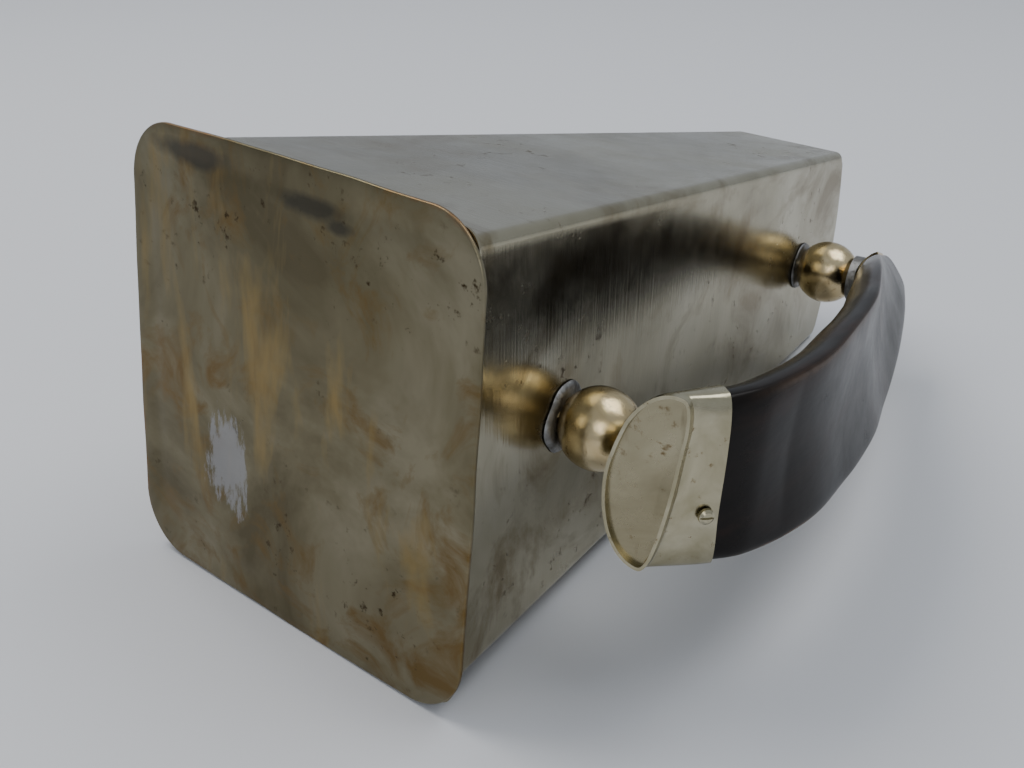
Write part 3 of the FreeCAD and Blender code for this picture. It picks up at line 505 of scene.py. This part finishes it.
# %% Camera
camera = bpy.data.objects.new("camera", bpy.data.cameras.new("camera"))
camera.data.lens = 44.8
DOWN, AROUND_UP = 27.23, 41.14
camera.location = ORIGIN + np.array([0.2704, -0.2091, 0.1801])
camera.rotation_euler = (math.radians(90 - DOWN), 0, math.radians(AROUND_UP))
camera.data.clip_start = 0.01
bpy.context.scene.collection.objects.link(camera)
bpy.context.scene.camera = camera
print("camera at", [round(v, 3) for v in camera.location], "lens", camera.data.lens)

# %% [markdown]
# ## Base plate
# On the real hod this is a flat square of sheet with faintly bowed sides and well-rounded corners.
# It is drawn as one outline scaled towards its middle, below and above, with a small round at the
# rim. Years of standing on a hearth have left it a little wavy, which moves only the reflections.

# %% The plate's outline
def plate_outline(per_side=44, per_corner=26):
    """Bowed sides joined by round corners; each side is x = half + crown (1 - (y/half)^2)."""
    half, crown, corner = 74.5, 1.0, 20.0
    reach, lean = 54.97, math.radians(1.1)
    y = np.linspace(-reach, reach, per_side)[:-1]
    side = np.stack([half + crown * (1 - (y / half) ** 2), y], -1)
    turn = np.linspace(lean, np.pi / 2 - lean, per_corner)
    bend = np.stack([reach + corner * np.cos(turn), reach + corner * np.sin(turn)], -1)
    quarter = np.concatenate([side, bend[:-1]])
    spins = [np.array([[math.cos(a), math.sin(a)], [-math.sin(a), math.cos(a)]])
             for a in np.arange(4) * np.pi / 2]
    return np.concatenate([quarter @ spin for spin in spins])


outline = plate_outline()
angle = np.arctan2(outline[:, 1], outline[:, 0])
outline = outline * (1 - 0.0022 * (1 + waves(7 * np.cos(angle), 7 * np.sin(angle), 3)))[:, None]
print("outline of", len(outline), "points, half sizes", np.abs(outline).max(0).round(1))

# %% The plate's section
EDGE_ROUND, PLATE_REACH, RINGS = 0.55, 75.0, 42
round_share = EDGE_ROUND / PLATE_REACH
bend = np.linspace(0, np.pi / 2, 7)
below = np.stack([np.linspace(0, 1 - round_share, RINGS), np.full(RINGS, -PLATE_THICK)], -1)
lower_bend = np.stack([1 - round_share * (1 - np.sin(bend)),
                       -PLATE_THICK + EDGE_ROUND * (1 - np.cos(bend))], -1)
upper_bend = np.stack([lower_bend[::-1, 0], -lower_bend[::-1, 1] - PLATE_THICK], -1)
profile = np.concatenate([below, lower_bend[1:], upper_bend, below[::-1] * [1, 0]])
print("section of", len(profile), "points")

# %% The plate
ring = profile[:, 0][:, None, None] * outline[None]
depth = np.repeat(profile[:, 1][:, None], len(outline), 1)
inset = (1 - profile[:, 0])[:, None] * PLATE_REACH
wavy = 0.16 * (1 + waves(ring[..., 0] / 17, ring[..., 1] / 17, 11)) * np.clip(inset / 12, 0, 1)
turned_rim = 0.28 * np.exp(-((inset - 8.5) / 3.0) ** 2)
depth = depth + np.where(depth < -PLATE_THICK / 2, wavy + turned_rim, 0)
points = stand(ring[..., 0], ring[..., 1], depth)
edge = np.exp(-np.clip(inset, 0, None) / 3.2) * np.ones(len(outline))
shift = 0.55 + 0.45 * waves(2 * np.cos(angle), 2 * np.sin(angle), 8)
left, high = np.clip(-outline / PLATE_REACH, 0, 1).T
shift = shift * np.clip(left ** 2 + 0.9 * high ** 3, 0, 1)
make_piece("base_plate_sheet", points, grid_faces(*points.shape[:2]), plate_skin,
           ["base_plate"], masks={"edge": edge * np.clip(shift, 0, 1)})

# %% [markdown]
# ## Body
# One sheet folded round into four tapering sides, with a lip turned out at the foot, butted edges
# down the back and a low arch on the handle side's rim. Outer and inner skins share one outline
# function, and a helper sews them into a closed sheet.

# %% Sewing two skins
def sewn(outer, inner, wrap):
    """Faces for two skins on the same grid, joined along their borders; inner follows outer."""
    rows, cols = outer.shape[:2]
    first = grid_faces(rows, cols, close_cols=wrap)
    count = rows * cols
    second = first[:, ::-1] + count
    across = np.arange(cols)
    onward = (across + 1) % cols
    if not wrap:
        across, onward = across[:-1], onward[:-1]
    low = np.stack([across, onward, onward + count, across + count], -1)
    top = (rows - 1) * cols
    high = np.stack([onward + top, across + top, across + top + count, onward + top + count], -1)
    strips = [low[:, ::-1], high[:, ::-1]]
    if not wrap:
        up = np.arange(rows - 1) * cols
        left = np.stack([up + cols, up, up + count, up + cols + count], -1)
        right = left + cols - 1
        strips += [left[:, ::-1], right]
    points = np.concatenate([outer.reshape(-1, 3), inner.reshape(-1, 3)])
    return points, np.concatenate([first, second] + strips)


print("sewing helper:", sewn.__name__)

# %% Round the folded sheet
FOLD, WALL, LIP, SLIT, ARCH = 3.5, 0.9, 3.0, 0.2, 8.0


def fold_path(per_side=56, per_fold=9):
    """Shares (a, b) along the sides and the fold angle for each point round the outline."""
    run, bend = np.linspace(-1, 1, per_side), np.linspace(0, np.pi / 2, per_fold)[1:-1]
    half, ones = np.linspace(0, 1, per_side // 2), np.ones
    a = [-ones(len(half)), -ones(len(bend)), run, ones(len(bend)), ones(per_side), ones(len(bend)),
         -run, -ones(len(bend)), -ones(len(half))]
    b = [-half, -ones(len(bend)), -ones(per_side), -ones(len(bend)), run, ones(len(bend)),
         ones(per_side), ones(len(bend)), half[::-1]]
    turn = [np.full(len(half), np.pi), np.pi + bend, np.full(per_side, 1.5 * np.pi),
            1.5 * np.pi + bend, np.zeros(per_side), bend, np.full(per_side, np.pi / 2),
            np.pi / 2 + bend, np.full(len(half), np.pi)]
    return np.concatenate(a), np.concatenate(b), np.concatenate(turn)


print("points round the outline:", len(fold_path()[0]))

# %% Up the folded sheet
def vessel_skin_points(spread, share, a, b, turn):
    """
    Points of the outline, spread outwards, at shares of the way from the foot to the rim. Both half
    sizes go straight from foot to mouth, each fold is an arc of radius FOLD + spread, the handle
    side's rim is an arc of a circle, and the flats are dented inwards by a ripple.
    """
    arch_radius = (MOUTH_Y ** 2 + ARCH ** 2) / (2 * ARCH)
    rim_y = b * (MOUTH_Y - FOLD)
    arch = np.sqrt(arch_radius ** 2 - rim_y ** 2) - (arch_radius - ARCH)
    top = HEIGHT + np.where((a > 0.99) & (np.abs(b) < 1.0), arch, 0.0)
    z = share[:, None] * top
    t = z / HEIGHT
    half_x = FOOT_HALF + (MOUTH_X - FOOT_HALF) * t
    half_y = FOOT_HALF + (MOUTH_Y - FOOT_HALF) * t
    radius = FOLD + spread[:, None]
    x = MOUTH_SHIFT * t + a * (half_x - FOLD) + radius * np.cos(turn)
    y = b * (half_y - FOLD) + radius * np.sin(turn)
    away = np.minimum(1 - np.abs(np.where(np.abs(a) > 0.99, b, a)), 0.25) * 4
    dent = 0.13 * (1 + waves(b * 2.2 + a * 1.4, z / 46, 5)) * away * np.sin(np.pi * np.clip(t, 0, 1))
    x, y = x - dent * np.cos(turn), y - dent * np.sin(turn)
    y[:, 0], y[:, -1] = -SLIT, SLIT
    return x, y, z


# %% The body
a, b, turn = fold_path()
climb = np.linspace(0.012, 1, 110)
outer_foot = [(LIP, 0.9), (1.4, 0.9), (0.5, 1.05), (0.12, 1.5)]
inner_foot = [(LIP, 0.0), (1.4, 0.0), (0.0, 0.05), (-0.65, 0.5)]
skins = []
for rows, settled in ((outer_foot, 0.0), (inner_foot, -WALL)):
    spread = np.concatenate([[row[0] for row in rows], np.full(len(climb), settled)])
    share = np.concatenate([[row[1] / HEIGHT for row in rows], climb])
    skins.append(stand(*vessel_skin_points(spread, share, a, b, turn)))
points, faces = sewn(*skins, wrap=False)
make_piece("body_sheet", points, faces, vessel_skin, ["body_wrap"], crease=50.0)

# %% [markdown]
# ## Horn grip
# A tapered cow horn, thick and oval at its foot, flattened and bowed in the middle, and twisted a
# little towards its tip. Its form follows stations up the handle side, with a smooth curve through
# them. The outer side is scooped, and a thin edge is left along the side nearest the table.

# %% The horn's stations
STATIONS = np.array([
    (34, 44, 26.6, 19.2, -8, 1.5), (46, 53.5, 27, 21.5, -5, 1.3), (60, 61, 27.2, 23.4, -1, 1.2),
    (90, 67.2, 27.4, 23.6, 2.6, 1.5), (125, 66.8, 27.7, 22.3, 4.8, 2), (160, 63.7, 27.3, 20.2, 7.6, 2.3),
    (195, 56.6, 25.3, 18, 11.8, 2.5), (225, 49.8, 21.8, 16.5, 18.3, 2.3),
    (250, 43.8, 17.1, 15.9, 25.8, 1.9), (277.6, 37, 9.8, 16.1, 35.6, 1.3)])
OUT_COL, HALF_COL, DEPTH_COL, TWIST_COL, STRAY_COL = 1, 2, 3, 4, 5
FOOT_AT, SQUARE_UNTIL, TIP_AT, TIP_LONG = 34.0, 46.0, 277.6, 9.0
OUTER_SHARE = 0.22


def along_horn(column, along):
    """A cubic between stations whose slopes come from each station's neighbours."""
    at, value = STATIONS[:, 0], STATIONS[:, column]
    number, last = np.arange(len(at)), len(at) - 1
    before, after = np.maximum(number - 1, 0), np.minimum(number + 1, last)
    slope = (value[after] - value[before]) / (at[after] - at[before])
    inside = np.clip(along, at[0], at[-1])
    k = np.clip(np.searchsorted(at, inside, "right") - 1, 0, last - 1)
    run = at[k + 1] - at[k]
    t = (inside - at[k]) / run
    result = value[k] * (1 + 2 * t) * (1 - t) ** 2 + value[k + 1] * t * t * (3 - 2 * t)
    result = result + run * (slope[k] * t * (1 - t) ** 2 - slope[k + 1] * t * t * (1 - t))
    return result + slope[-1] * np.maximum(along - at[-1], 0)


print("the horn stands out %.1f mm at most" % STATIONS[:, OUT_COL].max())

# %% The horn's skin
def horn_skin_points(along, angle, grow, shrink=1.0, scoop=0.0):
    """
    Points on the horn's skin, spread out by grow. A section is an ellipse, half * cos(angle) wide and
    depth * sin(angle) deep, squarer on its outer side, turned by the twist and square to the slope.
    """
    along, angle, grow, shrink, scoop = np.broadcast_arrays(along, angle, grow, shrink, scoop)
    rise = along_horn(OUT_COL, along + 0.5) - along_horn(OUT_COL, along - 0.5)
    beside = along_horn(OUT_COL, SQUARE_UNTIL + np.array([-0.5, 0.5]))
    later = beside[1] - beside[0]
    ramp_up = np.clip((along - FOOT_AT) / (SQUARE_UNTIL - FOOT_AT), 0, 1)
    heading = np.where(along < SQUARE_UNTIL, np.arctan(later) * ramp_up, np.arctan(rise))
    twist = np.radians(along_horn(TWIST_COL, along))
    half, thick = along_horn(HALF_COL, along), along_horn(DEPTH_COL, along)
    c, s = np.cos(angle), np.sin(angle)
    outer = s > 0
    power = np.where(outer, 0.7, 1.0)
    wide = (half + grow) * np.sign(c) * np.abs(c) ** power * shrink
    deep = np.where(outer, OUTER_SHARE, 1 - OUTER_SHARE) * thick + grow
    deep = deep * np.sign(s) * np.abs(s) ** power * shrink
    deep = deep - np.where(outer, scoop * np.clip(1 - (wide / (half * 0.97)) ** 2, 0, 1) ** 0.8, 0.0)
    side = wide * np.cos(twist) - deep * np.sin(twist)
    outward = wide * np.sin(twist) + deep * np.cos(twist)
    return on_face(along - outward * np.sin(heading),
                   along_horn(OUT_COL, along) + outward * np.cos(heading),
                   side - along_horn(STRAY_COL, along))


print("outer side's share of the depth", OUTER_SHARE)

# %% The horn
AROUND = 120
angle = np.linspace(0, 2 * np.pi, AROUND, endpoint=False)
tip = np.linspace(0, np.pi / 2, 15)[1:]
along = np.concatenate([np.full(8, FOOT_AT), np.linspace(FOOT_AT, TIP_AT, 150),
                        TIP_AT + TIP_LONG * np.sin(tip)])
shrink = np.concatenate([np.linspace(0, 1, 9)[:-1], np.ones(150), np.cos(tip)])
under_cap = np.clip((along - 42) / 3, 0, 1) - 1
SCOOP_DEEP = 4.2
scoop = SCOOP_DEEP * np.clip((along - 44) / 30, 0, 1) * np.clip((262 - along) / 60, 0, 1)
carve = 0.10 * waves(along[:, None] / 13, np.cos(angle) * 2 + np.sin(angle), 21)
grow = 0.55 * under_cap[:, None] + carve * (1 + under_cap[:, None]) - 0.1
points = horn_skin_points(along[:, None], angle[None], grow, shrink[:, None], scoop[:, None])
degrees = np.degrees(angle)
# The edge mask follows the horn's two sharp arrises and carries the pale brown of its finish, which is
# partly wear and partly a painted highlight.
edge = np.exp(-((degrees - 14) / 7) ** 2) + 0.5 * np.exp(-((degrees - 158) / 9) ** 2)
edge = edge[None] * np.clip((along - 50) / 20, 0, 1)[:, None]
make_piece("horn_grip", points, grid_faces(*points.shape[:2]), horn_skin, ["grip"],
           crease=50.0, masks={"edge": edge})

# %% [markdown]
# ## Cap, end plate and saddle
# A sheet ferrule closes the horn's foot: a band with a standing rim, dented and cut by eye, and an
# oval plate soldered inside the rim. At the tip a small cup of brass lines the inner side only, so
# the horn shows above and outside it.

# %% The band
GAP, SHEET, RIM_AT, BAND_EDGE = 0.15, 0.9, 31.3, 47.5
edge_at = BAND_EDGE + 0.4 * waves(2.1 * np.cos(angle), 2.1 * np.sin(angle) + 1, 33)
outer_part, inner_part = np.clip(np.sin(angle), 0, 1), np.clip(-np.sin(angle), 0, 1)
edge_at = edge_at + 2 * np.cos(angle) - 1.5 * outer_part + 4 * inner_part
share = np.linspace(0, 1, 40)[:, None]
along = RIM_AT + (edge_at[None] - RIM_AT) * share
dents = -0.30 * np.clip(waves(3.0 * np.cos(angle)[None] + 0 * along, along / 7, 41), 0, 1)
outer = horn_skin_points(along, angle[None], GAP + SHEET - 0.1 + dents)
inner = horn_skin_points(along, angle[None], GAP - 0.25 + dents)
points, faces = sewn(outer, inner, wrap=True)
make_piece("cap_ferrule", points, faces, cap_metal, ["lower_cap_band"], crease=50.0)

# %% The end plate
shares = np.concatenate([np.linspace(0, 1, 30), np.linspace(1, 0, 6)])
front = np.arange(len(shares)) < 30
dish = 0.55 * (1 - shares ** 2)
along = np.where(front, FOOT_AT - 1.1 + dish, FOOT_AT - 0.02)[:, None]
ripple = waves(2 * shares[:, None] * np.cos(angle), 2 * shares[:, None] * np.sin(angle), 51)
along = along + np.where(front, 0.15, 0)[:, None] * ripple
oval = horn_skin_points(np.full_like(along, FOOT_AT), angle[None], GAP - 0.03, shares[:, None])
points = oval + (along - FOOT_AT)[..., None] * (on_face(1.0, 0, 0) - on_face(0.0, 0, 0))
edge = np.clip((shares[:, None] - 0.84) / 0.13, 0, 1)
edge = edge * np.clip(0.25 + 0.8 * np.sin(angle) + 0.4 * np.cos(angle), 0, 1)
make_piece("cap_end_plate", points, grid_faces(*points.shape[:2]), end_sheet, ["lower_cap_end"],
           masks={"edge": edge})

# %% The saddle
SADDLE_FROM = 256.0
over = np.radians(6.0)
arc = np.linspace(np.pi - over, 2 * np.pi + over, 70)
start = SADDLE_FROM + 4.0 - 6.0 * np.abs(np.cos(arc)) ** 5
climb = np.linspace(0, 1, 30)[:, None]
along = start[None] + (TIP_AT - start[None]) * climb
tip_rows = np.linspace(0, np.radians(80), 12)[1:, None]
along = np.concatenate([along, TIP_AT + (TIP_LONG + GAP) * np.sin(tip_rows) * np.ones(70)])
shrink = np.concatenate([np.ones((30, 70)), np.cos(tip_rows) * np.ones(70)])
outer = horn_skin_points(along, arc[None], GAP + SHEET - 0.1, shrink)
inner = horn_skin_points(along, arc[None], GAP - 0.15, shrink)
points, faces = sewn(outer, inner, wrap=False)
make_piece("tip_saddle", points, faces, saddle_brass, ["upper_saddle"], crease=50.0)

# %% [markdown]
# ## Ball posts and their solder
# Each ball is turned from the solid with a short neck at both ends. The solder round the feet was
# run on by hand, so its ring swells and thins as it goes round.

# %% Turning
def turned(name, post, profile, finish, stands_for, slot, ripple=0.0, seed=0):
    """A profile of (radius, distance out), turned round an axis square to the handle side."""
    profile = np.array(profile)
    spin = np.linspace(0, 2 * np.pi, 96, endpoint=False)
    c, s = 2.2 * np.cos(spin)[None], 2.2 * np.sin(spin)[None]
    radius = profile[:, :1] * (1 + ripple * waves(c + profile[:, :1] / 9, s, seed))
    points = on_face(post + radius * np.cos(spin), profile[:, 1:] * np.ones(96), radius * np.sin(spin))
    return make_piece(name, points, grid_faces(*points.shape[:2], close_rows=True), finish,
                      stands_for)


print("turning helper:", turned.__name__)

# %% Where the posts stand
BALL, NECK, BORE, BALL_OUT = 13.0, 7.0, 2.65, 12.504
POSTS = {"lower": 58.0, "upper": 267.0}
OUTWARD = (on_face(0.0, 1.0, 0.0) - on_face(0.0, 0.0, 0.0)) / MM


def outs(node, post):
    """How far the points of a packed solid stand out of the handle side, in millimetres."""
    mesh = frame["nodes"][node].data
    points = np.empty(len(mesh.vertices) * 3)
    mesh.vertices.foreach_get("co", points)
    return (points.reshape(-1, 3) - on_face(post, 0.0, 0.0)) @ OUTWARD / MM


# %% The balls
nose = math.acos(NECK / BALL)
sweep = np.linspace(-nose, nose, 44)
ball = np.stack([BALL * np.cos(sweep), BALL_OUT + BALL * np.sin(sweep)], -1).tolist()
for side, post in POSTS.items():
    reach = outs(side + "_ball_post", post).max()
    profile = [(BORE, 0.05), (NECK, 0.05)] + ball + [(NECK, reach - 0.02), (BORE, reach - 0.02)]
    turned(side + "_ball", post, profile, ball_brass, [side + "_ball_post"], "ball_brass", 0.004, 61)
    print(side, "ball reaches %.1f mm out" % reach)

# %% The solder at their feet
for side, post in POSTS.items():
    thick = 1.7 if side == "lower" else 1.3
    wide = 11.2 if side == "lower" else 9.9
    lap = 8.6 + 0.25 * thick
    profile = [(7.06, 0.05), (wide * 0.93, 0.04), (wide, 0.35), (wide * 0.97, 0.55 * thick),
               (wide * 0.90, thick * 0.9), (lap + 0.6, thick), (lap - 0.6, thick * 0.96), (7.06, 1.7)]
    ring = turned(side + "_foot_ring", post, profile, solder, [side + "_post_solder"],
                  "solder", 0.10 if side == "lower" else 0.04, 71)
    place = np.empty(len(ring.data.vertices) * 3)
    ring.data.vertices.foreach_get("co", place)
    place = place.reshape(-1, 3)
    away = place - on_face(post, 0.0, 0.0)
    out = away @ OUTWARD / MM
    lump = waves(away[:, 0] / 0.0022, away[:, 2] / 0.0022 + away[:, 1] / 0.004, 81) * 0.28
    lump = np.minimum(lump * np.clip((out - 0.3) / 1.0, 0, 1), 0.05)
    place = place + (lump[:, None] * OUTWARD) * MM
    ring.data.vertices.foreach_set("co", place.ravel())
    ring.data.update()

# %% [markdown]
# ## Pieces kept from the packed model
# The screw, studs, washers, nuts, seam strip and solder beads are exact enough as they are, so they
# keep their shapes and take a finish.

# %% Dress the remaining solids
KEPT = {"foot_solder": solder, "seam_strip": vessel_skin, "lower_cap_screw": cap_metal,
        "lower_cap_solder": solder, "upper_cap_solder": solder}
for side in POSTS:
    for piece in ("stud", "washer", "nut"):
        KEPT["%s_%s" % (side, piece)] = fixings
for node, finish in KEPT.items():
    mesh = frame["nodes"][node].data
    for index in range(max(len(mesh.materials), 1)):
        if len(mesh.materials) == 0:
            mesh.materials.append(finish)
        mesh.materials[index] = finish
print("dressed", len(KEPT), "solids")
